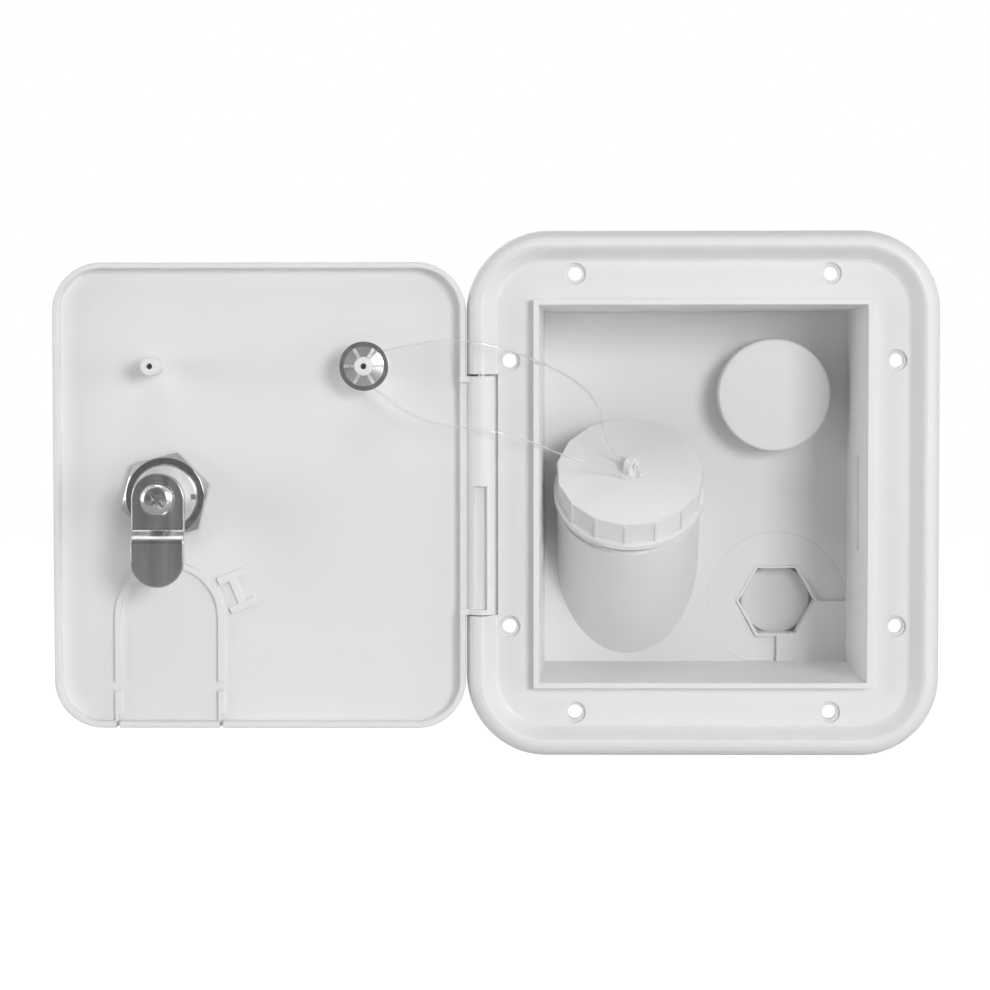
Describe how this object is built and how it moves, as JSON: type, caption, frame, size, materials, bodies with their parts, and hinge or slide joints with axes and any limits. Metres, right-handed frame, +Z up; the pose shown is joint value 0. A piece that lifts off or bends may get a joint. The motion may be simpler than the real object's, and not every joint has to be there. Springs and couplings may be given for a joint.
{
  "type": "fresh water fill inlet",
  "caption": "Wall-mounted fresh water fill inlet: rimmed housing with an inclined filler neck, a faceted screw cap on a thin cord, and a side-hinged door with a cam lock.",
  "frame": {"origin": "centre of the flange's back face, which lies on the caravan wall, amid the wall screws", "axes": "+X to the right and across the open door, +Z up, -Y out of the wall towards the person who fills the tank"},
  "size_m": [0.3, 0.1138, 0.178],
  "materials": {
    "white_plastic": "satin moulded ABS",
    "cap_plastic": "satin moulded ABS",
    "steel": "bright zinc",
    "cam_steel": "stamped and plated",
    "chrome": "polished plating",
    "brass": "stamped",
    "rubber": "matt",
    "clear_nylon": "clear monofilament"
  },
  "bodies": {
    "housing": {"housing": "white_plastic", "filler_neck": "white_plastic", "neck_gasket": "rubber", "hinge_pin_upper": "steel", "hinge_pin_lower": "steel"},
    "door": {"door_panel": "white_plastic", "lock_housing": "chrome", "lock_gasket": "rubber", "lock_nut": "chrome", "star_washer": "steel", "tether": "clear_nylon"},
    "lock": {"lock_plug": "chrome", "lock_wafers": "brass", "wafer_springs": "steel", "stop_washer": "chrome", "cam": "cam_steel", "cam_washer": "steel", "cam_screw": "chrome"},
    "seal": {"cap_seal": "rubber"},
    "cap": {"cap": "cap_plastic"}
  },
  "joints": [
    {"name": "door_hinge", "type": "hinge", "parent": "housing", "child": "door", "pos_m": [-0.075, -0.0075, 0], "axis": [0, 0, 1], "range_deg": [0, 180], "deforming": ["tether"]},
    {"name": "lock_turn", "type": "hinge", "parent": "door", "child": "lock", "pos_m": [-0.1823, -0.01, -0.0008], "axis": [0, 1, 0], "range_deg": [0, 90]},
    {"name": "cap_rise", "type": "slide", "parent": "housing", "child": "seal", "axis": [0, -0.7071, 0.7071], "range_m": [0, 0.0081], "deforming": ["tether"]},
    {"name": "cap_turn", "type": "hinge", "parent": "seal", "child": "cap", "pos_m": [-0.0241, 0.01772, 0.00438], "axis": [0, -0.7071, 0.7071], "range_deg": [0, 720], "deforming": ["tether"]}
  ],
  "couplings": [
    {"joint": "cap_rise", "follows": "cap_turn", "m_per_rad": 0.00063662}
  ]
}
